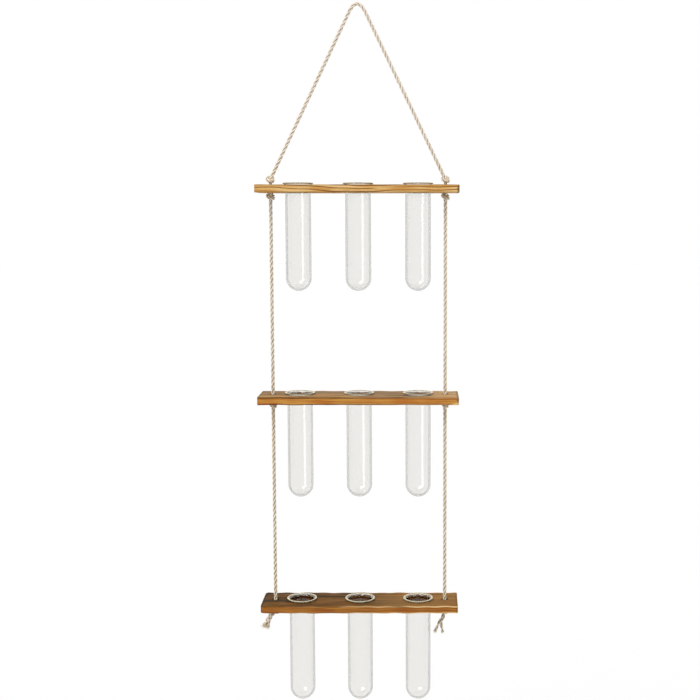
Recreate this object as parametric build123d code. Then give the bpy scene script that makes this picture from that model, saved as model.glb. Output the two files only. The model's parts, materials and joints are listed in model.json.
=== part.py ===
from build123d import *
import math
import os

# A hanging propagation vase: three wooden boards, one below the other on a rope,
# each with three round-bottomed glass tubes hanging in it by their flared lips.
# Lengths are millimetres. +Z is up, the front faces -Y and +X is to the right.
# The origin is the centre of the peg that the rope hangs over.

# Glass tubes
tube_diameter = 30.0
tube_wall = 1.5
tube_length = 126.0
lip_flare = 2.2  # radius of the curve that turns the wall out into the lip
lip_seat_gap = 0.15  # between the lip's curve and the rim of its hole
tube_hole_clearance = 0.6  # all round the wall

# Wooden boards
board_thickness = 9.5
board_edge_round = 1.0
board_side = 13.0  # from a tube's wall to the long edge
board_end = 16.0  # from a rope's centre to the short edge
tube_gap = 40.0  # between neighbouring tubes
rope_gap = 17.0  # from an outer tube's wall to the rope's centre

# Heights
top_drop = 198.0  # from the peg's centre to the top board's upper face
upper_space = 120.0  # under the top board's tubes, down to the next lips
lower_space = 124.0  # the same under the middle board's tubes

# Rope
rope_diameter = 4.0
rope_hole_clearance = 2.0  # all round, so that a board can tip on its knots
peg_diameter = 12.0
peg_arc_share = 0.9  # of the corner's room, which leaves a short straight on the peg

# Knots: two turns of the rope, wider than the hole that they stop
knot_shoulder = 1.1  # how far a knot stands out past the edge of its hole
knot_squeeze = 0.95  # of the spacing at which the two turns would just touch
knot_clearance = 0.25  # between a knot and the board that rests on it
stop_gap = 0.6  # over the top board, so that it can tip under its stop knots

# Running gaps where the rope bends as the boards swing
swing_gap = 0.8  # between a knot and the rope that it swings under
sway_gap = 0.4  # between a knot and the rope that sways below it
bend_height = 1.0  # of the rope's bend above the board that it enters
bend_gap = 0.25  # on each side of that bend

# Frayed rope ends under the bottom board, as steps from the knot's centre
left_tail_step = (-6.5, -1.0, -21.5)
left_tail_splay = 0.5  # how much wider the cut end is than the rope, all round
right_tail_steps = ((-12.5, -2.0, -28.5), (-2.5, 2.0, -31.0))
right_tail_strand_diameter = 2.6
right_tail_splay = 0.3

# Worked out from the sizes above
tube_radius = tube_diameter / 2
bore_radius = tube_radius - tube_wall
tube_hole_radius = tube_radius + tube_hole_clearance
rope_radius = rope_diameter / 2
rope_hole_radius = rope_radius + rope_hole_clearance

tube_spacing = tube_diameter + tube_gap
rope_x = tube_spacing + tube_radius + rope_gap
board_length = 2 * (rope_x + board_end)
board_depth = tube_diameter + 2 * board_side

upper_drop = tube_length + upper_space
lower_drop = tube_length + lower_space
board_top = {
    "top": -top_drop,
    "middle": -top_drop - upper_drop,
    "bottom": -top_drop - upper_drop - lower_drop,
}

# A knot's turns, and the ball that they stay within
knot_ring = rope_hole_radius + knot_shoulder - rope_radius
knot_step = knot_squeeze * rope_radius
knot_half_height = knot_step + rope_radius
knot_reach = math.hypot(knot_ring, knot_step) + rope_radius
knot_drop = math.sqrt((knot_reach + knot_clearance) ** 2 - rope_hole_radius**2)
knot_z = {tier: z - board_thickness - knot_drop for tier, z in board_top.items()}
stop_knot_z = board_top["top"] + knot_reach + stop_gap

sides = {"left": -1, "right": 1}
tube_places = {"left": -tube_spacing, "centre": 0.0, "right": tube_spacing}


def board(z):
    """A board with its upper face at z, drilled for three tubes and two ropes."""
    middle = Pos(0, 0, z - board_thickness / 2)
    slab = middle * fillet(
        Box(board_length, board_depth, board_thickness).edges(), board_edge_round
    )
    for x in tube_places.values():
        slab -= middle * Pos(x, 0, 0) * Cylinder(tube_hole_radius, 2 * board_thickness)
    for side in sides.values():
        drill = Cylinder(rope_hole_radius, 2 * board_thickness)
        slab -= middle * Pos(side * rope_x, 0, 0) * drill
    return slab


def arc(centre, radius, start, end):
    """An arc in the XZ plane about a centre, between two angles in degrees."""

    def at(angle):
        turn = math.radians(angle)
        return (
            centre[0] + radius * math.cos(turn),
            0,
            centre[1] + radius * math.sin(turn),
        )

    return ThreePointArc(at(start), at((start + end) / 2), at(end))


def tube(x, z):
    """A glass tube on the axis x, whose lip rests on a board with its upper face at z."""
    seat = (lip_flare - lip_seat_gap) ** 2 - (lip_flare - tube_hole_clearance) ** 2
    flare_z = z - math.sqrt(seat)
    flare = (tube_radius + lip_flare, flare_z)
    bead = (flare[0], flare_z + lip_flare + tube_wall / 2)
    lip_top = flare_z + lip_flare + tube_wall
    ball = (0, lip_top - tube_length + tube_radius)
    outline = [
        arc(flare, lip_flare, 180, 90),
        arc(bead, tube_wall / 2, -90, 90),
        arc(flare, lip_flare + tube_wall, 90, 180),
        Line((bore_radius, 0, flare_z), (bore_radius, 0, ball[1])),
        arc(ball, bore_radius, 0, -90),
        Line((0, 0, ball[1] - bore_radius), (0, 0, ball[1] - tube_radius)),
        arc(ball, tube_radius, -90, 0),
        Line((tube_radius, 0, ball[1]), (tube_radius, 0, flare_z)),
    ]
    return Pos(x, 0, 0) * revolve(make_face(outline), Axis.Z)


def knot(x, z):
    """Two turns of rope round a core, with flat ends where the rope goes in and out."""
    outline = Rectangle(knot_ring, 2 * knot_half_height, align=(Align.MIN, Align.CENTER))
    for step in (-knot_step, knot_step):
        outline += Pos(knot_ring, step) * Circle(rope_radius)
    return Pos(x, 0, z) * revolve(Plane.XZ * outline, Axis.Z)


def upright_rope(x, low, high):
    """A straight stretch of rope between two heights."""
    return Pos(x, 0, (low + high) / 2) * Cylinder(rope_radius, high - low)


def slanted_strand(start, step, start_radius, end_radius):
    """A strand that widens from a point along a step to its cut end."""
    first = Plane(origin=start, z_dir=step)
    last = first.offset(Vector(*step).length)
    return loft([first * Circle(start_radius), last * Circle(end_radius)])


def hanger_rope(knots):
    """The rope from one stop knot over the peg to the other, cut off at the knots."""
    bend = peg_diameter / 2 + rope_radius
    rise = math.atan2(-stop_knot_z, rope_x)
    rise += math.asin(bend / math.hypot(rope_x, stop_knot_z))
    shoulder = bend * math.tan(rise / 2)
    points = [
        (-rope_x, 0, stop_knot_z),
        (-shoulder, 0, bend),
        (shoulder, 0, bend),
        (rope_x, 0, stop_knot_z),
    ]
    radius = peg_arc_share * bend
    path = FilletPolyline(*points, radius=[radius, radius])
    section = Plane(origin=path @ 0, z_dir=path % 0) * Circle(rope_radius)
    rope = sweep(section, path=path)
    print("hanger rope radii", round(radius, 2), round(radius, 2), "length", round(path.length, 1))
    print("hanger rope volume over section times length", rope.volume / (section.area * path.length))
    for stop in knots:
        rope -= stop
    return rope


nodes = {}
for tier, z in board_top.items():
    nodes[f"{tier}_board"] = board(z)
    for place, x in tube_places.items():
        nodes[f"{tier}_{place}_tube"] = tube(x, z)
    for side, sign in sides.items():
        nodes[f"{tier}_{side}_knot"] = knot(sign * rope_x, knot_z[tier])

for side, sign in sides.items():
    x = sign * rope_x
    nodes[f"{side}_stop_knot"] = knot(x, stop_knot_z)

    # The rope in the holes of the boards
    nodes[f"top_{side}_hole_rope"] = upright_rope(
        x, knot_z["top"] + knot_half_height + swing_gap, stop_knot_z - knot_half_height
    )
    nodes[f"middle_{side}_hole_rope"] = upright_rope(
        x,
        knot_z["middle"] + knot_half_height + swing_gap,
        board_top["middle"] + bend_height - bend_gap,
    )
    nodes[f"bottom_{side}_hole_rope"] = upright_rope(
        x, knot_z["bottom"] + knot_half_height, board_top["bottom"] + bend_height - bend_gap
    )

    # The rope between the boards
    for name, above, below in (("upper", "top", "middle"), ("lower", "middle", "bottom")):
        nodes[f"{name}_{side}_rope"] = upright_rope(
            x,
            board_top[below] + bend_height + bend_gap,
            knot_z[above] - knot_half_height - sway_gap,
        )

nodes["hanger_rope"] = hanger_rope([nodes["left_stop_knot"], nodes["right_stop_knot"]])

left_end = (-rope_x, 0, knot_z["bottom"])
nodes["left_tail"] = slanted_strand(
    left_end, left_tail_step, rope_radius, rope_radius + left_tail_splay
)
nodes["left_tail"] -= nodes["bottom_left_knot"]

right_end = (rope_x, 0, knot_z["bottom"])
strand_radius = right_tail_strand_diameter / 2
for step in right_tail_steps:
    strand = slanted_strand(right_end, step, strand_radius, strand_radius + right_tail_splay)
    nodes["right_tail"] = nodes["right_tail"] + strand if "right_tail" in nodes else strand
nodes["right_tail"] -= nodes["bottom_right_knot"]

os.makedirs("parts", exist_ok=True)
for name, shape in nodes.items():
    export_step(shape, f"parts/{name}.step")

print("nodes", len(nodes))
print("board", board_length, "by", board_depth, "by", board_thickness)
print("board tops", board_top)
print("knot centres", knot_z, "stop knots", stop_knot_z, "reach", knot_reach)
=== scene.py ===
import json
import math
from typing import NamedTuple

import bmesh
import bpy
import numpy as np
from bpy.props import FloatProperty, FloatVectorProperty, IntProperty, PointerProperty
from mathutils import Matrix, Vector
from mathutils.kdtree import KDTree


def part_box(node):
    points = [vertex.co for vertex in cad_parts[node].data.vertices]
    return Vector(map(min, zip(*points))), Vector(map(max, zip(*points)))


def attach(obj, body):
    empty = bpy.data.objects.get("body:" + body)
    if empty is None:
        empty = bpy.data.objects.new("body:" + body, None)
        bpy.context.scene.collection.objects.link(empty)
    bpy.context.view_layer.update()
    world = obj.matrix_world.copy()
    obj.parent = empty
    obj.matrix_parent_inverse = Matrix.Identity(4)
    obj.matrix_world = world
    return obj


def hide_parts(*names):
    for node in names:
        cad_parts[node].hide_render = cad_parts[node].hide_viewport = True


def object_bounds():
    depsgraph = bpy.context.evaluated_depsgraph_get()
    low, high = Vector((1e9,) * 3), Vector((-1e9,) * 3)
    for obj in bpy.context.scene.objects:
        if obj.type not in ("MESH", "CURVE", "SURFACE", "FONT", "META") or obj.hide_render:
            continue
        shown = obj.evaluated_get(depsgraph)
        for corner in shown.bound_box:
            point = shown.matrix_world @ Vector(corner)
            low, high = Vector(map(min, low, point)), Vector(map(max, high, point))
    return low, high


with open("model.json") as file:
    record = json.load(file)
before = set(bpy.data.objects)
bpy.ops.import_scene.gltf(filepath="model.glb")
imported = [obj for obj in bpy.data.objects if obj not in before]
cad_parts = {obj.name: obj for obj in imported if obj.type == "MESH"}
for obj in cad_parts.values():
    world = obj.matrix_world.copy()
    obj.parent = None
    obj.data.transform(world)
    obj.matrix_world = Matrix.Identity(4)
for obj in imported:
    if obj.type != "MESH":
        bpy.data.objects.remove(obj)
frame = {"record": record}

bl_info = {
    "name": "Hanging Propagation Vase",
    "version": (1, 0, 0),
    "blender": (4, 5, 0),
    "location": "View3D > Sidebar > Vase",
    "description": "Dresses a rope ladder of three boards that carry nine glass tubes",
    "category": "Object",
}

# Lengths are metres. The origin is the peg's centre, +Z is up and the front faces -Y.
CAD_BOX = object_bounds()
MM = 0.001

TIERS = ("top", "middle", "bottom")
SIDES = ("left", "right")
PLACES = ("left", "centre", "right")

# Where the random draws of each group of pieces start
KNOT_SEED = 0
BOARD_SEED = 7
HANGER_SEED = 20
ROPE_SEED = 30
HOLE_ROPE_SEED = 40
TAIL_SEED = 60


def middle_of(node):
    """The centre of a node's box."""
    low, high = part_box(node)
    return (low + high) / 2


def size_of(node):
    """The length, depth and height of a node's box."""
    low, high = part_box(node)
    return high - low


# Settings


def number(name, description, default, **kind):
    """A setting for a number, with its unit or subtype where one fits."""
    return FloatProperty(name=name, description=description, default=default, **kind)


def length(name, description, default):
    """A setting in metres."""
    return number(name, description, default, unit="LENGTH", precision=5)


def position(name, description, default):
    """A setting for a place."""
    return FloatVectorProperty(
        name=name, description=description, default=default, subtype="TRANSLATION", unit="LENGTH"
    )


def colour(name, description, default):
    """A setting for a colour."""
    return FloatVectorProperty(
        name=name, description=description, default=default, subtype="COLOR", min=0.0, max=1.0
    )


class VaseStageSettings(bpy.types.PropertyGroup):
    """Where the vase is looked at from, and what lights it"""

    camera_place: position(
        "Camera Place", "Where the camera stands, from the peg", (0.0723, -1.4431, -0.2381)
    )
    camera_dip: number(
        "Camera Dip", "How far the camera looks down", math.radians(6.07), subtype="ANGLE"
    )
    sensor: number("Sensor", "Width of the camera's sensor", 36.0, unit="CAMERA")
    lens: number("Lens", "Focal length on that sensor", 63.15, unit="CAMERA")
    lens_shift: number(
        "Lens Shift", "Centres the vase without turning the camera", -0.1, subtype="FACTOR"
    )
    floor_drop: length("Floor Drop", "How far the floor lies under the lowest tube", 0.55)
    floor_reach: length("Floor Reach", "How far the floor goes on each side", 30.0)
    floor_grey: number("Floor Grey", "How much light the floor throws back up", 0.75)
    sky_light: number("Sky Light", "Soft light from all round", 0.64)
    sun_light: number("Sun Light", "Broad soft light from the upper left front", 1.65)
    sun_spread: number(
        "Sun Spread", "How broad the broad light is", math.radians(35), subtype="ANGLE"
    )
    sun_way: FloatVectorProperty(
        name="Sun Way",
        description="Which way the broad light comes from",
        default=(-0.35, -0.62, 0.70),
        subtype="DIRECTION",
    )
    window_power: number(
        "Window Power", "Tall lamp that is seen only in a gloss", 12.0, unit="POWER"
    )
    window_place: position("Window Place", "Where the tall lamp stands", (1.05, -1.15, -0.35))
    window_width: length("Window Width", "Width of the tall lamp", 0.55)
    window_height: length("Window Height", "Height of the tall lamp", 1.5)


class VaseRopeSettings(bpy.types.PropertyGroup):
    """The jute rope, laid from three strands of three yarns"""

    diameter: length("Diameter", "Thickness of the rope", size_of("upper_left_rope").x)
    lay: length("Lay", "Length of one turn of a strand", 19.5 * MM)
    yarn_lay: length("Yarn Lay", "Length of one turn of a yarn in its strand", 9 * MM)
    fibres: number("Stray Fibres", "Loose fibres on each metre of rope", 1500)
    fibre_length: length("Fibre Length", "Length of the longest stray fibres", 3.2 * MM)
    knot_reach: length("Knot Reach", "Radius of the ball that a knot stays in", 5.75 * MM)
    corner_reach: length("Corner Reach", "Right from the peg to the hanger's corner", 5.01 * MM)
    corner_rise: length("Corner Rise", "Up from the peg's centre to that corner", 8 * MM)
    pale: colour("Pale Jute", "Sunlit fibres", (0.90, 0.815, 0.655))
    brown: colour("Brown Jute", "Darker fibres", (0.69, 0.565, 0.40))
    # Painted light: the paler colour that the rope is painted towards the peg
    painted_top_light: colour("Bleached Jute", "Fibres at the top, in the most light", (0.95, 0.86, 0.76))
    groove: colour("Groove", "Shaded fibres between the strands", (0.130, 0.092, 0.055))


class VaseBoardSettings(bpy.types.PropertyGroup):
    """The wooden boards, whose edges are rounded and darkened by a flame"""

    tube_hole: length("Tube Hole", "Diameter of a tube's hole", 31.2 * MM)
    rope_hole: length("Rope Hole", "Diameter of a rope's hole", 8 * MM)
    corner_round: length("Corner Round", "Rounding of the upright corners", 2.0 * MM)
    edge_round: length("Edge Round", "Rounding of the long edges", 1.0 * MM)
    worn_corner: length("Worn Corner", "Rounding of the bottom board's left corners", 5.0 * MM)
    worn_edge: length("Worn Edge", "Rounding of the bottom board's long edges", 1.7 * MM)
    rim_round: length("Rim Round", "Rounding of the holes' rims", 0.4 * MM)
    wander: length("Wander", "How far the sawn edges wander", 0.7 * MM)
    loose_wander: length("Loose Wander", "How far the bottom board's edges wander", 1.2 * MM)
    ring_width: length("Ring Width", "Width of a growth ring", 2.3 * MM)
    top_pale: colour("Top Pale", "Early wood of the top board", (0.80, 0.530, 0.215))
    top_warm: colour("Top Warm", "Warm streaks of the top board", (0.585, 0.295, 0.074))
    top_dark: colour("Top Dark", "Late wood of the top board", (0.235, 0.082, 0.015))
    top_smoke: colour("Top Smoke", "Left of the top board's upper face", (0.45, 0.27, 0.10))
    # Painted sheen on the right of the top board's upper face
    top_painted_sheen: colour("Top Haze", "Right of the top board's upper face", (0.55, 0.35, 0.15))
    middle_pale: colour("Middle Pale", "Early wood of the middle board", (0.60, 0.294, 0.060))
    middle_warm: colour("Middle Warm", "Warm streaks of the middle board", (0.46, 0.156, 0.024))
    middle_dark: colour("Middle Dark", "Late wood of the middle board", (0.17, 0.052, 0.008))
    middle_smoke: colour("Middle Smoke", "Left of the middle's upper face", (0.270, 0.190, 0.098))
    # Painted sheen on the right of the middle board's upper face
    middle_painted_sheen: colour("Middle Haze", "Right of the middle's upper face", (0.58, 0.395, 0.200))
    bottom_pale: colour("Bottom Pale", "Early wood of the bottom board", (0.395, 0.166, 0.028))
    bottom_warm: colour("Bottom Warm", "Warm streaks of the bottom board", (0.288, 0.089, 0.014))
    bottom_dark: colour("Bottom Dark", "Late wood of the bottom board", (0.12, 0.038, 0.007))
    bottom_smoke: colour("Bottom Smoke", "Left of the bottom's upper face", (0.042, 0.024, 0.003))
    # Painted sheen on the right of the bottom board's upper face
    bottom_painted_sheen: colour("Bottom Haze", "Right of the bottom's upper face", (0.285, 0.160, 0.045))
    # Soot, and the painted shade in the bores
    soot_and_shade: colour("Soot", "What the flame leaves of the wood's colour", (0.27, 0.23, 0.20))
    bare: colour("Bare Wood", "Clean wood where an arris is worn", (0.82, 0.55, 0.26))


class VaseTubeSettings(bpy.types.PropertyGroup):
    """The glass tubes, round at the bottom and flared at the lip"""

    diameter: length("Diameter", "Outside of the wall", 30 * MM)
    wall: length("Wall", "Thickness of the glass", 1.5 * MM)
    flare: length("Flare", "Radius of the curve under the lip", 2.2 * MM)
    steps: IntProperty(name="Steps", description="Facets round a tube", default=96)
    tint: colour("Tint", "Colour of the glass", (0.955, 0.952, 0.945))
    # Painted shade: the dark colour painted where the wall is seen edge-on
    edge: colour("Edge", "Colour of the glass seen along its wall", (0.09, 0.09, 0.08))
    depth: colour("Depth Tint", "What the thick of the glass lets through", (0.80, 0.79, 0.76))
    density: number("Density", "How soon the glass takes up light", 140.0)
    # Painted highlight: the lip is painted whitish with this colour, most where it faces up
    lip_highlight: colour("Milk", "Colour of the flame polished lip", (0.98, 0.88, 0.58))
    lip_highlight_share: number("Milkiness", "How milky the top of the lip is", 0.75, subtype="FACTOR")
    side_highlight_share: number("Side Milk", "Share of that on the lip's side", 0.4, subtype="FACTOR")
    ior: number("IOR", "How strongly the glass bends light", 1.48)


# Materials


class Wire:
    """A socket in a material's nodes. Arithmetic on it adds Math nodes."""

    def __init__(self, tree, socket=None):
        self.tree = tree
        self.socket = socket

    def node(self, kind, settings=None, inputs=None, output=0):
        """Adds a node, sets it, fills its sockets and gives one of its outputs."""
        made = self.tree.nodes.new(kind)
        for name, value in (settings or {}).items():
            setattr(made, name, value)
        for key, value in (inputs or {}).items():
            if isinstance(value, Wire):
                self.tree.links.new(value.socket, made.inputs[key])
            else:
                made.inputs[key].default_value = value
        return Wire(self.tree, made.outputs[output])

    def beside(self, output):
        """Another output of the node that this wire comes from."""
        return Wire(self.tree, self.socket.node.outputs[output])

    def math(self, operation, *others):
        """A Math node on this value and others."""
        values = dict(enumerate((self, *others)))
        return self.node("ShaderNodeMath", {"operation": operation}, values)

    def __add__(self, other):
        return self.math("ADD", other)

    def __sub__(self, other):
        return self.math("SUBTRACT", other)

    def __rsub__(self, other):
        return self.node("ShaderNodeMath", {"operation": "SUBTRACT"}, {0: other, 1: self})

    def __mul__(self, other):
        return self.math("MULTIPLY", other)

    def __truediv__(self, other):
        return self.math("DIVIDE", other)

    def __pow__(self, other):
        return self.math("POWER", other)

    def __abs__(self):
        return self.math("ABSOLUTE")

    __radd__ = __add__
    __rmul__ = __mul__

    def hypot(self, other):
        """The length of a step of this value along and another across."""
        return (self * self + other * other) ** 0.5

    def rise(self, low, high):
        """Nought below low, one above high, and smooth between them."""
        settings = {"interpolation_type": "SMOOTHSTEP"}
        return self.node("ShaderNodeMapRange", settings, {0: self, 1: low, 2: high, 3: 0.0, 4: 1.0})

    def mix(self, first, second, how="MIX"):
        """The first colour where this is nought, and the second or their blend where it is one."""
        first = first if isinstance(first, Wire) else (*first, 1.0)
        second = second if isinstance(second, Wire) else (*second, 1.0)
        settings = {"data_type": "RGBA", "blend_type": how}
        return self.node("ShaderNodeMix", settings, {0: self, 6: first, 7: second}, 2)

    def vector(self, operation, other):
        """A Vector Math node on this vector and another."""
        return self.node("ShaderNodeVectorMath", {"operation": operation}, {0: self, 1: other})

    def noise(self, scale, detail=2.0, rough=0.5):
        """Noise at this vector, with one scale for all axes or one for each."""
        if isinstance(scale, tuple):
            return self.vector("MULTIPLY", scale).noise(1.0, detail, rough)
        inputs = {"Vector": self, "Scale": scale, "Detail": detail, "Roughness": rough}
        return self.node("ShaderNodeTexNoise", None, inputs)

    def bump(self, strength, distance):
        """A normal that is roughened by this height."""
        inputs = {"Strength": strength, "Distance": distance, "Height": self}
        return self.node("ShaderNodeBump", None, inputs)

    def attribute(self, name, output="Fac"):
        """An attribute of the mesh."""
        return self.node("ShaderNodeAttribute", {"attribute_name": name}, output=output)


def new_material(name):
    """A material with a Principled shader, the shader's node, and a wire to start from."""
    material = bpy.data.materials.new(name)
    material.use_nodes = True
    tree = material.node_tree
    return material, tree.nodes["Principled BSDF"], Wire(tree)


def plug(shader, **values):
    """Sets or links a node's sockets, whose names are given with _ for a space."""
    for name, value in values.items():
        socket = shader.inputs[name.replace("_", " ")]
        if isinstance(value, Wire):
            value.tree.links.new(value.socket, socket)
        else:
            socket.default_value = value


def jute_material(rope):
    """Dull fibres in pale and brown streaks along each yarn, made once for all the rope."""
    name = "twisted_jute"
    if name in bpy.data.materials:
        return bpy.data.materials[name]
    material, shader, start = new_material(name)
    place = start.node("ShaderNodeTexCoord", output="Object")
    along = place.beside("UV")
    streaks = along.noise((9.0, 60.0, 1.0), 3.0, 0.6)
    patches = place.noise(110.0, 2.0, 0.6)
    specks = place.noise(1400.0, 2.0, 0.7)
    tone = (0.45 * streaks + 0.35 * patches + 0.30 * specks).rise(0.40, 0.68)
    shade = tone.mix(rope.brown, rope.pale)

    # The grooves between the strands are in shade
    groove = 1.0 - start.attribute("height").rise(0.42, 0.80)
    shade = (0.92 * groove).mix(shade, rope.groove)

    # Painted light: the rope is painted paler more and more from the bottom board up to the peg,
    # where it stands in more light
    height = place.node("ShaderNodeSeparateXYZ", None, {0: place}, "Z")
    shade = (0.48 * height.rise(-0.70, -0.05)).mix(shade, rope.painted_top_light)
    plug(shader, Base_Color=shade, Normal=(streaks + specks).bump(0.6, 0.2 * MM))
    plug(shader, Roughness=0.92, Specular_IOR_Level=0.2, Sheen_Weight=0.15, Sheen_Roughness=0.6)
    return material


class BoardFinish(NamedTuple):
    """A board's grain, what flame and use have left on it, and the painted sheen on its upper face.
    Marks go from nought to one.
    """

    slot: str
    pith: tuple  # where the tree's middle was, back and up from the board's middle
    grain: float  # how strongly the late wood shows
    edge_soot: float
    left_end_soot: float
    right_end_soot: float
    left_smoke: float
    # How much smoke and painted sheen lie at the right of the upper face
    right_smoke_and_sheen: float
    smoke_reach: float  # how far right of the middle the darker smoke goes, of half the length
    right_wear: float
    front_smoke_and_sheen: float = 1.0
    corner_wear: float = 0.0


FINISHES = {
    "top": BoardFinish(
        slot="golden_wood",
        pith=(12 * MM, -31 * MM),
        grain=1.35,
        edge_soot=0.40,
        left_end_soot=0.10,
        right_end_soot=0.90,
        left_smoke=0.30,
        right_smoke_and_sheen=0.30,
        smoke_reach=0.5,
        right_wear=0.1,
    ),
    "middle": BoardFinish(
        slot="brown_wood",
        pith=(-16 * MM, -36 * MM),
        grain=0.70,
        edge_soot=1.00,
        left_end_soot=0.15,
        right_end_soot=0.60,
        left_smoke=1.00,
        right_smoke_and_sheen=0.95,
        smoke_reach=0.7,
        right_wear=0.3,
        front_smoke_and_sheen=0.7,
        corner_wear=0.7,
    ),
    "bottom": BoardFinish(
        slot="brown_wood",
        pith=(20 * MM, 33 * MM),
        grain=0.70,
        edge_soot=0.20,
        left_end_soot=0.45,
        right_end_soot=0.35,
        left_smoke=1.00,
        right_smoke_and_sheen=0.75,
        smoke_reach=0.15,
        right_wear=0.9,
    ),
}


def late_wood(place, y, z, pith, ring_width):
    """The dark part of each growth ring. The rings bend along the board, and fade in and out."""
    sway = place.noise((7.0, 9.0, 9.0)) - 0.5
    ripple = place.noise((16.0, 120.0, 120.0)) - 0.5
    from_pith = (y - pith[0]).hypot(z - pith[1])
    rings = (from_pith + sway * (11 * MM) + ripple * (1.4 * MM)) / ring_width
    within = rings.math("FRACT")
    fade = place.noise((9.0, 170.0, 170.0)).rise(0.30, 0.66)
    return within.rise(0.45, 0.86) * (1.0 - within.rise(0.90, 1.0)) * (0.25 + 0.75 * fade)


def bore_soot_and_shade(x, y, tier, board):
    """One on the walls of the holes for the tubes and ropes, which take soot and painted shade."""
    spacing = middle_of(f"{tier}_right_tube").x
    from_tube = x.math("WRAP", spacing / 2, -spacing / 2).hypot(y)
    from_rope = (abs(x) - middle_of(f"{tier}_right_knot").x).hypot(y)
    past_tube = from_tube - board.tube_hole / 2
    past_rope = from_rope - board.rope_hole / 2
    return 1.0 - past_tube.math("MINIMUM", past_rope).rise(0.05 * MM, 0.4 * MM)


def wood_material(tier, board):
    """Sawn softwood with its rings about a pith that runs beside the board.

    Soot lies on the edges and ends, soot and painted shade in the bores, smoke and a painted sheen
    on the upper face, and the long arrises are worn.
    """
    finish = FINISHES[tier]
    tones = ("pale", "warm", "dark", "smoke", "painted_sheen")
    pale, warm, dark, smoke_tone, painted_sheen_tone = (getattr(board, f"{tier}_{tone}") for tone in tones)
    half = size_of(f"{tier}_board") / 2
    material, shader, start = new_material(f"{tier}_{finish.slot}")
    place = start.attribute("place", "Vector")
    x = place.node("ShaderNodeSeparateXYZ", None, {0: place}, "X")
    y = x.beside("Y")
    z = x.beside("Z")

    late = late_wood(place, y, z, finish.pith, board.ring_width)
    streaks = place.noise((14.0, 210.0, 210.0), 3.0, 0.55)
    fibres = place.noise((22.0, 1100.0, 1100.0), 3.0, 0.6)
    clouds = place.noise((26.0, 80.0, 80.0))
    blotches = place.noise((30.0, 60.0, 60.0), 3.0, 0.6)
    shade = (0.55 * streaks + 0.45 * clouds).rise(0.40, 0.60).mix(pale, warm)
    shade = (late * finish.grain + (fibres - 0.5) * 0.6).rise(0.0, 1.0).mix(shade, dark)

    # Smoke has darkened the upper face, more at the left and the back. Towards the right the upper
    # face takes a paler painted sheen instead, for light caught there
    rightward = x.rise(-half.x, half.x)
    backward = y.rise(-half.y, 0.4 * half.y)
    upward = z.rise(half.z - 1.0 * MM, half.z - 0.3 * MM)
    clear = x.rise((finish.smoke_reach - 0.3) * half.x, (finish.smoke_reach + 0.3) * half.x)

    def from_left(left, right):
        """A value that goes from one at the left to another at the right."""
        return left + (right - left) * rightward

    smoke = upward * from_left(finish.left_smoke, finish.right_smoke_and_sheen)
    smoke = smoke * (finish.front_smoke_and_sheen + (1.0 - finish.front_smoke_and_sheen) * backward)
    smoke = smoke * (0.55 + 0.45 * (0.5 * blotches + 0.5 * streaks).rise(0.38, 0.62))
    shade = smoke.mix(shade, clear.mix(smoke_tone, painted_sheen_tone))
    smoked_rings = (0.5 * smoke * (late + (streaks - 0.5))).rise(0.0, 0.5)
    shade = smoked_rings.mix(shade, board.soot_and_shade, "MULTIPLY")

    # The flame has burnt the long arrises and the end grain. The bores are darkened by soot and by
    # painted shade inside the holes
    from_arris = (half.y - abs(y)).hypot(half.z - abs(z))
    from_end = half.x - abs(x)
    edge = 1.0 - (from_arris + (blotches - 0.5) * (2.4 * MM)).rise(0.6 * MM, 2.0 * MM)
    ends = 1.0 - (from_end + (streaks - 0.5) * (3.0 * MM)).rise(1.0 * MM, 3.6 * MM)
    ends = ends * from_left(finish.left_end_soot, finish.right_end_soot)
    soot_and_bore_shade = (edge * finish.edge_soot).math("MAXIMUM", ends)
    # Soot and painted shade on the walls of the bores
    soot_and_bore_shade = soot_and_bore_shade.math("MAXIMUM", 0.75 * bore_soot_and_shade(x, y, tier, board))
    shade = soot_and_bore_shade.mix(shade, board.soot_and_shade, "MULTIPLY")

    # Use has bared the long arrises towards the right, and the lower right corner
    rubbed = place.vector("ADD", (0.3, 0.0, 0.0)).noise((14.0, 30.0, 30.0)).rise(0.36, 0.50)
    worn = (1.0 - from_arris.rise(0.7 * MM, 1.7 * MM)) * rubbed
    shade = (worn * (finish.right_wear * rightward)).mix(shade, board.bare)
    from_corner = (half.x - x) * 0.42 + (half.z + z) + (streaks - 0.5) * (4.0 * MM)
    chipped = 1.0 - from_corner.rise(2.5 * MM, 5.5 * MM)
    shade = (finish.corner_wear * chipped).mix(shade, board.bare)
    rough = 0.52 + 0.22 * fibres + 0.12 * late
    bump = (fibres * 0.5 - late * 0.6).bump(0.55, 0.25 * MM)
    plug(shader, Base_Color=shade, Roughness=rough, Specular_IOR_Level=0.10, Normal=bump)
    return material


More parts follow.
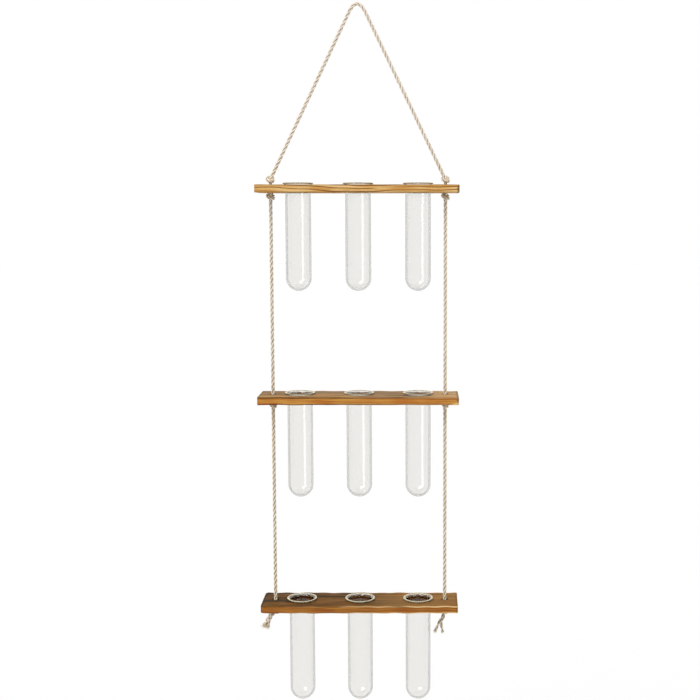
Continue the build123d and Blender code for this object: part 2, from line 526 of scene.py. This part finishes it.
def glass_material(tube):
    """Clear drawn glass with faint smears, painted dark where its wall is seen edge-on, and a lip
    painted whitish as a highlight, most where it faces up.
    """
    material, shader, start = new_material("drawn_glass")
    place = start.node("ShaderNodeTexCoord", output="Object")
    lip = start.attribute("lip")
    smears = place.noise((60.0, 60.0, 22.0), 3.0, 0.6)
    # Painted shade: the glass is painted dark where its wall is seen edge-on, for dark lines along
    # the tubes' sides
    along = start.node("ShaderNodeLayerWeight", None, {"Blend": 0.5}, "Facing").rise(0.46, 0.90)
    tint = (along * (1.0 - lip)).mix(tube.tint, tube.edge)
    plug(shader, Base_Color=tint, Roughness=smears.rise(0.55, 0.95) * 0.05)
    plug(shader, Transmission_Weight=1.0, IOR=tube.ior)
    clear = Wire(start.tree, shader.outputs[0])
    # Painted highlight: the lip is mixed with a whitish shader, most where it faces up
    highlight_look = {"Base Color": (*tube.lip_highlight, 1.0), "Roughness": 0.3}
    lip_highlight = start.node("ShaderNodeBsdfPrincipled", None, highlight_look)
    both = start.node("ShaderNodeMixShader", None, {0: lip * tube.lip_highlight_share, 1: clear, 2: lip_highlight})
    thick = {"Color": (*tube.depth, 1.0), "Density": tube.density}
    absorbed = start.node("ShaderNodeVolumeAbsorption", None, thick)
    plug(start.tree.nodes["Material Output"], Surface=both, Volume=absorbed)
    return material


# Pieces


def mesh_of(shape):
    """The mesh of a bmesh, which isn't needed after that."""
    mesh = bpy.data.meshes.new("piece")
    shape.to_mesh(mesh)
    shape.free()
    return mesh


def mesh_of_curve(curve):
    """The mesh of a curve, which isn't needed after that."""
    holder = bpy.data.objects.new("curve", curve)
    mesh = bpy.data.meshes.new_from_object(holder)
    bpy.data.objects.remove(holder)
    bpy.data.curves.remove(curve)
    return mesh


def finish_piece(node, way, mesh, material):
    """A piece that stands for a node and rides on its body, named for the way it is made."""
    name = f"{node}_{way}"
    mesh.name = name
    mesh.materials.append(material)
    piece = bpy.data.objects.new(name, mesh)
    bpy.context.scene.collection.objects.link(piece)
    bodies = frame["record"]["behaviour"]["bodies"]
    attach(piece, next(body for body, nodes in bodies.items() if node in nodes))
    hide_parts(node)
    return piece


# Rope


ROPE_STEP = 0.65 * MM  # between the points that a strand follows

# How far out two or three strands lie and how thick they are, as shares of the rope's radius
STRAND_SPREAD = {2: 0.5, 3: 0.65}
STRAND_RADIUS = {2: 0.52, 3: 0.47}

# How far out the three yarns of a strand lie and how thick they are, as shares of its radius
YARN_SPREAD = 0.46
YARN_RADIUS = 0.60
YARN_BULGE = 0.07  # how much a yarn's thickness varies


def spline_points(route):
    """Points along the smooth spline that a route's points control."""
    curve = bpy.data.curves.new("route", "CURVE")
    curve.dimensions = "3D"
    spline = curve.splines.new("NURBS")
    spline.points.add(len(route) - 1)
    for point, place in zip(spline.points, route):
        point.co = (*place, 1.0)
    spline.order_u = 3
    spline.use_endpoint_u = True
    spline.resolution_u = 40
    mesh = mesh_of_curve(curve)
    line = np.array([vertex.co for vertex in mesh.vertices])
    bpy.data.meshes.remove(mesh)
    return line


def lengths_along(line):
    """How far along a line each of its points is."""
    steps = np.linalg.norm(np.diff(line, axis=0), axis=1)
    return np.concatenate([[0.0], np.cumsum(steps)])


def even_line(line):
    """A line with its points evenly spaced."""
    along = lengths_along(line)
    places = np.linspace(0.0, along[-1], max(3, round(along[-1] / ROPE_STEP) + 1))
    return np.stack([np.interp(places, along, line[:, axis]) for axis in range(3)], axis=1)


def cross_directions(line):
    """The way ahead and two ways across a line at each point, carried along without a twist."""
    ahead = np.gradient(line, axis=0)
    ahead /= np.linalg.norm(ahead, axis=1, keepdims=True)
    start = np.eye(3)[np.argmin(np.abs(ahead[0]))]
    sides = []
    for way in ahead:
        start = start - way * (start @ way)
        start = start / np.linalg.norm(start)
        sides.append(start)
    sides = np.array(sides)
    return ahead, sides, np.cross(ahead, sides)


def wound_line(line, lay, reach, turn):
    """A line that winds round another one at a distance, once in each lay."""
    _, side, across = cross_directions(line)
    angle = (turn + 2 * math.pi * lengths_along(line) / lay)[:, None]
    return line + np.reshape(reach, (-1, 1)) * (np.cos(angle) * side + np.sin(angle) * across)


class RopeCurve:
    """Collects yarns and fibres on one curve, and makes a mesh of them."""

    def __init__(self, rope, seed):
        self.rope = rope
        self.random = np.random.default_rng(seed)
        self.curve = bpy.data.curves.new("yarns", "CURVE")
        self.curve.dimensions = "3D"
        self.curve.bevel_depth = 1.0  # so that the radius of a point is in metres
        self.curve.bevel_resolution = 1
        self.curve.use_fill_caps = True
        self.cores = []

    def add(self, line, radii):
        """Adds one yarn or fibre along a line."""
        spline = self.curve.splines.new("POLY")
        spline.points.add(len(line) - 1)
        spline.points.foreach_set("co", np.column_stack([line, np.ones(len(line))]).ravel())
        spline.points.foreach_set("radius", radii)
        spline.use_smooth = True

    def lay_strands(self, line, radius, strands=3, splay=1.0):
        """Lays strands of three yarns along a line, and spreads them by splay at its end."""
        line = even_line(line)
        self.cores += [(point, radius) for point in line]
        spread = radius * STRAND_SPREAD[strands] * np.linspace(1.0, splay, len(line)) ** 2
        strand_radius = radius * STRAND_RADIUS[strands]
        tips = []
        for strand in range(strands):
            turn = 2 * math.pi * strand / strands
            core = wound_line(line, self.rope.lay, spread, turn)
            for yarn in range(3):
                way = turn + 2 * math.pi * yarn / 3
                path = wound_line(core, -self.rope.yarn_lay, strand_radius * YARN_SPREAD, way)
                bulge = self.random.normal(0.0, YARN_BULGE, len(path) // 6 + 3)
                places = np.linspace(0, len(bulge) - 1, len(path))
                bulge = np.interp(places, range(len(bulge)), bulge)
                self.add(path, strand_radius * YARN_RADIUS * (1 + bulge))
                tips.append(path[-3:])
        return tips

    def add_stray_fibres(self, line, radius, share=1.0, shortness=1.0):
        """Adds loose fibres that stand off a rope."""
        line = even_line(line)
        ahead, side, across = cross_directions(line)
        count = int(self.rope.fibres * share * lengths_along(line)[-1])
        t = np.linspace(0.0, 1.0, 5)[:, None]
        for _ in range(count):
            at = self.random.integers(len(line))
            angle = self.random.uniform(0, 2 * math.pi)
            out = math.cos(angle) * side[at] + math.sin(angle) * across[at]
            round_it = np.cross(ahead[at], out)
            long = shortness * self.rope.fibre_length * self.random.uniform(0.4, 1.0)
            lean, curl, lift = self.random.uniform((-1, -0.5, 0.1), (1, 0.5, 0.45))
            path = line[at] + out * radius * 0.85 + long * (
                lean * t * ahead[at] + curl * t * t * round_it + lift * t * (1.3 - 0.5 * t) * out
            )
            self.add(path, self.random.uniform(0.04, 0.09) * MM * (1.1 - t[:, 0]))

    def fray(self, tips, count, long, spread):
        """Lets the ends of some yarns fall apart into fibres."""
        t = np.linspace(0.0, 1.0, 6)[:, None]
        way = np.sum([tip[-1] - tip[0] for tip in tips], axis=0)
        way = way / np.linalg.norm(way)
        for tip in tips:
            for _ in range(count):
                aim = way + self.random.normal(0.0, spread, 3)
                aim = aim / np.linalg.norm(aim)
                bend = self.random.normal(0.0, spread, 3)
                start = tip[0] + self.random.normal(0.0, 0.22 * MM, 3)
                path = start + long * self.random.uniform(0.5, 1.0) * (aim * t + 0.4 * bend * t * t)
                self.add(path, self.random.uniform(0.09, 0.16) * MM * (1.15 - t[:, 0]))

    def mesh(self):
        """The mesh of all that was added."""
        mesh = mesh_of_curve(self.curve)
        mesh.shade_smooth()

        # How far out each point lies from the rope's middle, as a share of its radius
        tree = KDTree(len(self.cores))
        for index, (point, _) in enumerate(self.cores):
            tree.insert(point, index)
        tree.balance()
        heights = []
        for vertex in mesh.vertices:
            _, index, distance = tree.find(vertex.co)
            heights.append(distance / self.cores[index][1])
        mesh.attributes.new("height", "FLOAT", "POINT").data.foreach_set("value", heights)
        return mesh

    def finish(self, node, way):
        """The piece of all that was added, which stands for a node."""
        return finish_piece(node, way, self.mesh(), jute_material(self.rope))


def lay_rope(node, route, rope, seed):
    """Lays a stretch of rope along a route."""
    line = spline_points(route)
    laid = RopeCurve(rope, seed)
    laid.lay_strands(line, rope.diameter / 2)
    laid.add_stray_fibres(line, rope.diameter / 2)
    laid.finish(node, "laid")


def tied_overhand(thickness, rounds=900, count=96):
    """The line of a tight overhand knot: a loose one, drawn shorter until it lies on itself."""
    t = np.linspace(-2.3, 2.3, count)
    line = np.stack([t**3 - 3 * t, t**4 - 4 * t**2 + 2, (t**5 - 10 * t) * 0.35], axis=1)
    line *= thickness * 0.9
    apart = np.abs(np.subtract.outer(np.arange(count), np.arange(count)))
    for _ in range(rounds):
        # Smooth the line, and draw its points a little closer together
        step = np.linalg.norm(np.diff(line, axis=0), axis=1).mean()
        goal = max(step * 0.99, thickness * 0.16)
        line[1:-1] += 0.25 * ((line[:-2] + line[2:]) / 2 - line[1:-1])
        for _ in range(4):
            gaps = np.diff(line, axis=0)
            pull = 0.5 * gaps * (1 - goal / np.linalg.norm(gaps, axis=1, keepdims=True))
            line[:-1] += pull
            line[1:] -= pull

        # Push turns apart that lie closer than the rope is thick
        away = line[:, None] - line[None]
        distance = np.linalg.norm(away, axis=2) + np.eye(count)
        near = (apart * goal > 1.6 * thickness) & (distance < thickness)
        push = np.where(near, (thickness - distance) / distance, 0)[..., None] * away
        line += 0.5 * push.sum(1) / np.maximum(near.sum(1), 1)[:, None]

        # Bring both ends to the knot's axis
        for ends in (line[:4], line[-4:]):
            ends[:, :2] *= 0.95
    return line


class VASE_OT_knots(bpy.types.Operator):
    """Tie the knots that the boards rest on, and the two that stop the hanger"""

    bl_idname = "vase.knots"
    bl_label = "Tie Knots"

    def execute(self, context):
        rope = context.scene.vase_rope
        radius = 0.44 * rope.diameter
        squeezed = 0.75 * rope.diameter
        flattened = 0.7
        half_height = 1.1 * rope.diameter
        first_turn = 1.9
        next_turn = 0.12
        line = tied_overhand(squeezed)
        line[:, 2] *= flattened
        line = line[np.abs(line[:, 2]) < half_height]
        names = [f"{side}_stop_knot" for side in SIDES]
        names += [f"{tier}_{side}_knot" for tier in TIERS for side in SIDES]
        for index, name in enumerate(names):
            turn = np.array(Matrix.Rotation(first_turn + next_turn * index, 3, "Z"))
            drawn = 0.76 if name.startswith("middle") else 0.94
            middle = middle_of(name)
            lifted = middle + Vector((0.0, 0.0, (1.0 - drawn) * size_of(name).z / 2))
            path = drawn * line @ turn.T + np.array(lifted)
            knot = RopeCurve(rope, KNOT_SEED + index)
            knot.lay_strands(path, radius)
            knot.add_stray_fibres(path, radius, share=0.5, shortness=0.35)
            piece = knot.finish(name, "tied")

            # No part of a knot stands out of the ball that its board tips on
            for vertex in piece.data.vertices:
                out = vertex.co - middle
                vertex.co -= out * max(1.0 - rope.knot_reach / out.length, 0.0)
        return {"FINISHED"}


class VASE_OT_hanger(bpy.types.Operator):
    """Hang the rope over the peg, from one stop knot to the other"""

    bl_idname = "vase.hanger"
    bl_label = "Hang Rope"

    def execute(self, context):
        rope = context.scene.vase_rope
        knots = [f"{side}_stop_knot" for side in SIDES]
        left, right = map(middle_of, knots)
        corner = Vector((rope.corner_reach, 0.0, rope.corner_rise))
        near_peg = 6 * rope.diameter
        beside = corner + (right - corner).normalized() * near_peg
        flip = Vector((-1.0, 1.0, 1.0))
        route = [left, beside * flip, corner * flip, corner, beside, right]
        lay_rope("hanger_rope", route, rope, HANGER_SEED)
        return {"FINISHED"}


class VASE_OT_ropes(bpy.types.Operator):
    """Run the ropes between the boards and through their holes"""

    bl_idname = "vase.ropes"
    bl_label = "Run Ropes"

    def execute(self, context):
        rope = context.scene.vase_rope
        near_edge = Vector((0.0, 0.0, 6 * rope.diameter))
        into_knot = Vector((0.0, 0.0, 1.5 * MM))
        into_hole = 2 * MM
        seed = ROPE_SEED
        for level, above in (("upper", "top"), ("lower", "middle")):
            for side in SIDES:
                name = f"{level}_{side}_rope"
                knot = f"{above}_{side}_knot"
                low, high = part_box(name)
                x = middle_of(name).x
                foot = Vector((x, 0.0, low.z - into_hole))
                head = middle_of(knot) - into_knot
                route = [head, head - near_edge, foot + near_edge, foot]
                lay_rope(name, route, rope, seed)
                seed += 1
        seed = HOLE_ROPE_SEED
        for tier in TIERS:
            for side in SIDES:
                name = f"{tier}_{side}_hole_rope"
                head = middle_of(f"{side}_stop_knot") if tier == "top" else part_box(name)[1]
                foot = middle_of(f"{tier}_{side}_knot")
                head = Vector((foot.x, 0.0, head.z))
                laid = RopeCurve(rope, seed)
                laid.lay_strands(np.array([head, foot]), 0.47 * rope.diameter)
                laid.finish(name, "laid")
                seed += 1
        return {"FINISHED"}


class VASE_OT_tails(bpy.types.Operator):
    """Leave the frayed ends of the rope under the bottom board"""

    bl_idname = "vase.tails"
    bl_label = "Fray Tails"

    def execute(self, context):
        rope = context.scene.vase_rope

        def tail_line(side, *steps):
            """The line of a tail that goes from its knot by steps in millimetres."""
            start = middle_of(f"bottom_{side}_knot")
            return spline_points([start] + [start + Vector(step) * MM for step in steps])

        stub = RopeCurve(rope, TAIL_SEED)
        line = tail_line("left", (-5.6, 0.0, -5.0), (-9.4, -0.6, -12.0), (-11.2, -0.8, -16.5))
        stub.add_stray_fibres(line, rope.diameter / 2, share=0.8)
        tips = stub.lay_strands(line, 0.60 * rope.diameter, splay=1.30)
        stub.fray(tips, count=60, long=8.0 * MM, spread=0.27)
        stub.finish("left_tail", "frayed")

        fork = RopeCurve(rope, TAIL_SEED + 1)
        branches = (
            ((-2.0, -0.6, -7.0), (-6.0, -0.6, -13.5), (-7.9, -0.8, -18.0), (-11.3, -1.8, -25.0)),
            ((-0.2, 0.6, -7.0), (-4.0, 0.6, -13.5), (-4.2, 0.8, -18.0), (-2.6, 1.8, -27.0)),
        )
        for branch in branches:
            line = tail_line("right", *branch)
            fork.add_stray_fibres(line, 0.42 * rope.diameter, share=0.8)
            tips = fork.lay_strands(line, 0.42 * rope.diameter, strands=2, splay=1.12)
            fork.fray(tips, count=14, long=4.5 * MM, spread=0.22)
        fork.finish("right_tail", "frayed")
        return {"FINISHED"}


# Boards


class Drill(NamedTuple):
    """A hole on a board's middle line."""

    x: float
    radius: float
    facets: int


def drilled_slab(low, high, drills):
    """A square-edged board with its holes."""
    shape = bmesh.new()
    corners = [(low.x, low.y), (high.x, low.y), (high.x, high.y), (low.x, high.y)]
    points = [shape.verts.new((x, y, high.z)) for x, y in corners]
    for pair in zip(points, points[1:] + points[:1]):
        shape.edges.new(pair)
    for drill in drills:
        at = Matrix.Translation((drill.x, 0.0, high.z))
        bmesh.ops.create_circle(shape, segments=drill.facets, radius=drill.radius, matrix=at)
    bmesh.ops.triangle_fill(shape, use_beauty=True, use_dissolve=False, edges=shape.edges[:])
    under = bmesh.ops.extrude_face_region(shape, geom=shape.faces[:])
    fresh = [item for item in under["geom"] if isinstance(item, bmesh.types.BMVert)]
    bmesh.ops.translate(shape, verts=fresh, vec=(0.0, 0.0, low.z - high.z))
    bmesh.ops.recalc_face_normals(shape, faces=shape.faces[:])
    return shape


def round_edges(shape, drills, board, worn):
    """Rounds a board's upright corners, then the rims of its holes, then its other edges."""

    def sharp_edges():
        return [edge for edge in shape.edges if edge.calc_face_angle(0.0) > math.radians(50)]

    def is_upright(edge):
        return abs(edge.verts[0].co.z - edge.verts[1].co.z) > edge.calc_length() / 2

    def is_rim(edge):
        return any(
            all(math.hypot(v.co.x - drill.x, v.co.y) < drill.radius + 0.1 * MM for v in edge.verts)
            for drill in drills
        )

    def round_off(edges, offset, segments):
        bmesh.ops.bevel(
            shape,
            geom=edges,
            offset=offset,
            offset_type="OFFSET",
            segments=segments,
            profile=0.5,
            affect="EDGES",
            material=-1,
            clamp_overlap=True,
        )

    upright = [edge for edge in sharp_edges() if is_upright(edge)]
    left = [edge for edge in upright if edge.verts[0].co.x < 0]
    right = [edge for edge in upright if edge.verts[0].co.x > 0]
    round_off(left, board.worn_corner if worn else board.corner_round, 5)
    round_off(right, board.corner_round, 4)
    round_off([edge for edge in sharp_edges() if is_rim(edge)], board.rim_round, 2)
    long_round = board.worn_edge if worn else board.edge_round
    round_off([edge for edge in sharp_edges() if not is_rim(edge)], long_round, 3)


def cut_across(shape, low, high, pieces=47):
    """Cuts a board across at even steps, so that its long edges can bend."""
    for x in np.linspace(low.x, high.x, pieces + 1)[1:-1]:
        bmesh.ops.bisect_plane(
            shape,
            geom=shape.verts[:] + shape.edges[:] + shape.faces[:],
            dist=0.01 * MM,
            plane_co=(x, 0.0, 0.0),
            plane_no=(1.0, 0.0, 0.0),
        )


def wandering(random):
    """A smooth wave between nought and one, of the place along a board."""
    waves = random.uniform((10.0, 0.0), (45.0, 2 * math.pi), (4, 2))

    def wave(place):
        swings = (math.sin(2 * math.pi * rate * place + turn) for rate, turn in waves)
        return 0.5 + sum(swings) / (2 * len(waves))

    return wave


def let_wander(shape, high, middle, hole, wander, random):
    """Draws a board's outer faces in by a little that wanders. The holes stay true."""
    end_zone = 0.08 * high.x
    ways = ("front", "back", "left", "right", "above", "below")
    waves = {way: wandering(random) for way in ways}
    for vertex in shape.verts:
        x, y, z = vertex.co
        by_side = min(max((abs(y) - hole) / (high.y - hole), 0.0), 1.0) ** 2
        by_end = min(max((abs(x) - high.x) / end_zone + 1.0, 0.0), 1.0)
        above = z > middle.z
        vertex.co.x -= math.copysign(wander * by_end * waves["left" if x < 0 else "right"](y), x)
        vertex.co.y -= math.copysign(wander * by_side * waves["front" if y < 0 else "back"](x), y)
        step = wander * max(by_side, by_end) * waves["above" if above else "below"](x + y)
        vertex.co.z += -step if above else step


def drilled_board(tier, board, random):
    """A sawn board, drilled for its tubes and ropes, whose edges wander a little."""
    low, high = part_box(f"{tier}_board")
    middle = (low + high) / 2
    worn = tier == "bottom"
    tube_hole = board.tube_hole / 2
    rope_hole = board.rope_hole / 2
    drills = [Drill(middle_of(f"{tier}_{spot}_tube").x, tube_hole, facets=80) for spot in PLACES]
    drills += [Drill(middle_of(f"{tier}_{side}_knot").x, rope_hole, facets=28) for side in SIDES]
    shape = drilled_slab(low, high, drills)
    round_edges(shape, drills, board, worn)
    cut_across(shape, low, high)
    places = np.array([vertex.co - middle for vertex in shape.verts])
    wander = board.loose_wander if worn else board.wander
    let_wander(shape, high, middle, tube_hole, wander, random)
    bmesh.ops.recalc_face_normals(shape, faces=shape.faces[:])
    mesh = mesh_of(shape)
    mesh.shade_smooth()

    # The wood's marks follow the straight board, so that they stay on edges that wander
    mesh.attributes.new("place", "FLOAT_VECTOR", "POINT").data.foreach_set("vector", places.ravel())
    return mesh


class VASE_OT_boards(bpy.types.Operator):
    """Saw and drill the three boards"""

    bl_idname = "vase.boards"
    bl_label = "Saw Boards"

    def execute(self, context):
        board = context.scene.vase_board
        random = np.random.default_rng(BOARD_SEED)
        for tier in TIERS:
            material = wood_material(tier, board)
            mesh = drilled_board(tier, board, random)
            piece = finish_piece(f"{tier}_board", "sawn", mesh, material)
            level = piece.modifiers.new("even_shading", "WEIGHTED_NORMAL")
            level.keep_sharp = True
        return {"FINISHED"}


# Tubes


def tube_profile(low, high, tube):
    """Half of a tube's section: out and up from the bottom, over the lip and down."""
    radius = tube.diameter / 2
    bore = radius - tube.wall
    ball = low + radius
    flare_z = high - tube.flare - tube.wall
    flare_x = radius + tube.flare
    bead_z = flare_z + tube.flare + tube.wall / 2
    ball_steps = 20
    lip_steps = 9

    def arc(x, z, size, start, end, steps):
        angles = np.radians(np.linspace(start, end, steps))
        return [(x + size * math.cos(a), z + size * math.sin(a)) for a in angles]

    return (
        arc(0.0, ball, radius, -90, 0, ball_steps)
        + arc(flare_x, flare_z, tube.flare, 180, 90, lip_steps)
        + arc(flare_x, bead_z, tube.wall / 2, -90, 90, lip_steps)
        + arc(flare_x, flare_z, tube.flare + tube.wall, 90, 180, lip_steps)
        + arc(0.0, ball, bore, 0, -90, ball_steps)
    )


def blown_tube(name, tube):
    """A tube spun from its section, with how strongly each point of its lip is painted whitish as a
    highlight.
    """
    low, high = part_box(name)
    axis = middle_of(name).x
    shape = bmesh.new()
    profile = tube_profile(low.z, high.z, tube)
    points = [shape.verts.new((axis + x, 0.0, z)) for x, z in profile]
    for pair in zip(points, points[1:]):
        shape.edges.new(pair)
    bmesh.ops.spin(
        shape,
        geom=shape.verts[:] + shape.edges[:],
        cent=(axis, 0.0, 0.0),
        axis=(0.0, 0.0, 1.0),
        angle=2 * math.pi,
        steps=tube.steps,
        use_merge=True,
    )
    bmesh.ops.remove_doubles(shape, verts=shape.verts[:], dist=0.001 * MM)
    bmesh.ops.recalc_face_normals(shape, faces=shape.faces[:])
    mesh = mesh_of(shape)
    mesh.shade_smooth()
    # Painted highlight: how whitish the lip is painted, most where it faces up
    lips = []
    for vertex in mesh.vertices:
        past_wall = math.hypot(vertex.co.x - axis, vertex.co.y) - tube.diameter / 2
        share = min(max(past_wall / tube.flare, 0.0), 1.0)
        lips.append(share * max(vertex.normal.z, tube.side_highlight_share))
    mesh.attributes.new("lip", "FLOAT", "POINT").data.foreach_set("value", lips)
    return mesh


class VASE_OT_tubes(bpy.types.Operator):
    """Blow the nine glass tubes"""

    bl_idname = "vase.tubes"
    bl_label = "Blow Tubes"

    def execute(self, context):
        tube = context.scene.vase_tube
        material = glass_material(tube)
        for tier in TIERS:
            for spot in PLACES:
                name = f"{tier}_{spot}_tube"
                finish_piece(name, "blown", blown_tube(name, tube), material)
        return {"FINISHED"}


# Stage


def add_to_stage(name, data, place=(0.0, 0.0, 0.0)):
    """An object for a camera, a lamp or a mesh of the stage."""
    holder = bpy.data.objects.new(name, data)
    holder.location = place
    bpy.context.scene.collection.objects.link(holder)
    return holder


def add_lamp(name, kind, power, place, target):
    """A lamp at a place that points at a target."""
    lamp = bpy.data.lights.new(name, kind)
    lamp.energy = power
    holder = add_to_stage(name, lamp, place)
    way = Vector(target) - Vector(place)
    holder.rotation_euler = way.to_track_quat("-Z", "Y").to_euler()
    return holder


def seen_plainly(start):
    """One for the rays that see the stage straight, in a gloss or through glass."""
    straight = start.node("ShaderNodeLightPath", output="Is Camera Ray")
    seen = straight.math("MAXIMUM", straight.beside("Is Glossy Ray"))
    return seen.math("MAXIMUM", straight.beside("Is Transmission Ray"))


def lay_floor(height, reach, grey, light):
    """A floor that is white to the eye in this light, and throws back less."""
    shape = bmesh.new()
    at = Matrix.Translation((0.0, 0.0, height))
    bmesh.ops.create_grid(shape, x_segments=1, y_segments=1, size=reach, matrix=at)
    mesh = mesh_of(shape)
    material, shader, start = new_material("floor")
    plug(shader, Base_Color=(grey, grey, grey, 1.0), Roughness=1.0, Specular_IOR_Level=0.0)
    plug(shader, Emission_Color=seen_plainly(start) * (1.0 - grey * light), Emission_Strength=1.0)
    mesh.materials.append(material)
    add_to_stage("floor", mesh)


class VASE_OT_stage(bpy.types.Operator):
    """Set up the camera, the lamps, the pale floor and the white background"""

    bl_idname = "vase.stage"
    bl_label = "Set Stage"

    def execute(self, context):
        stage = context.scene.vase_stage
        scene = context.scene
        scene.view_settings.view_transform = "Standard"

        lens = bpy.data.cameras.new("camera")
        lens.lens = stage.lens
        lens.sensor_width = stage.sensor
        lens.shift_x = stage.lens_shift
        scene.camera = add_to_stage("camera", lens, stage.camera_place)
        scene.camera.rotation_euler = (math.pi / 2 - stage.camera_dip, 0.0, 0.0)

        sun = add_lamp("sun", "SUN", stage.sun_light, stage.sun_way, (0.0, 0.0, 0.0))
        sun.data.angle = stage.sun_spread

        # The window is seen only in a gloss, above all on the glass
        beside_vase = (0.0, 0.0, stage.window_place[2])
        window = add_lamp("window", "AREA", stage.window_power, stage.window_place, beside_vase)
        window.data.shape = "RECTANGLE"
        window.data.size = stage.window_width
        window.data.size_y = stage.window_height
        window.visible_camera = False
        window.visible_diffuse = False
        window.visible_transmission = False

        floor_z = CAD_BOX[0][2] - stage.floor_drop
        light = stage.sky_light + stage.sun_light * Vector(stage.sun_way).normalized().z / math.pi
        lay_floor(floor_z, stage.floor_reach, stage.floor_grey, light)

        # The room is white to the eye too, and lights the vase less
        scene.world = bpy.data.worlds.new("white_room")
        scene.world.use_nodes = True
        tree = scene.world.node_tree
        seen = seen_plainly(Wire(tree))
        strength = seen * (1.0 - stage.sky_light) + stage.sky_light
        plug(tree.nodes["Background"], Color=(1.0, 1.0, 1.0, 1.0), Strength=strength)
        return {"FINISHED"}


class VASE_PT_panel(bpy.types.Panel):
    """The vase's pieces and their settings"""

    bl_idname = "VASE_PT_panel"
    bl_label = "Propagation Vase"
    bl_space_type = "VIEW_3D"
    bl_region_type = "UI"
    bl_category = "Vase"

    def draw(self, context):
        for kind in OPERATORS:
            self.layout.operator(kind.bl_idname)
        for name, kind in SETTINGS.items():
            box = self.layout.box()
            for setting in kind.__annotations__:
                box.prop(getattr(context.scene, name), setting)


SETTINGS = {
    "vase_stage": VaseStageSettings,
    "vase_rope": VaseRopeSettings,
    "vase_board": VaseBoardSettings,
    "vase_tube": VaseTubeSettings,
}
OPERATORS = (
    VASE_OT_stage,
    VASE_OT_knots,
    VASE_OT_hanger,
    VASE_OT_ropes,
    VASE_OT_tails,
    VASE_OT_boards,
    VASE_OT_tubes,
)


def register():
    for kind in (*SETTINGS.values(), *OPERATORS, VASE_PT_panel):
        bpy.utils.register_class(kind)
    for name, kind in SETTINGS.items():
        setattr(bpy.types.Scene, name, PointerProperty(type=kind))


def unregister():
    for name in SETTINGS:
        delattr(bpy.types.Scene, name)
    for kind in reversed((*SETTINGS.values(), *OPERATORS, VASE_PT_panel)):
        bpy.utils.unregister_class(kind)


def main():
    """Makes the stage and every piece."""
    register()
    bpy.ops.vase.stage()
    bpy.ops.vase.knots()
    bpy.ops.vase.hanger()
    bpy.ops.vase.ropes()
    bpy.ops.vase.tails()
    bpy.ops.vase.boards()
    bpy.ops.vase.tubes()


if __name__ == "__main__":
    main()
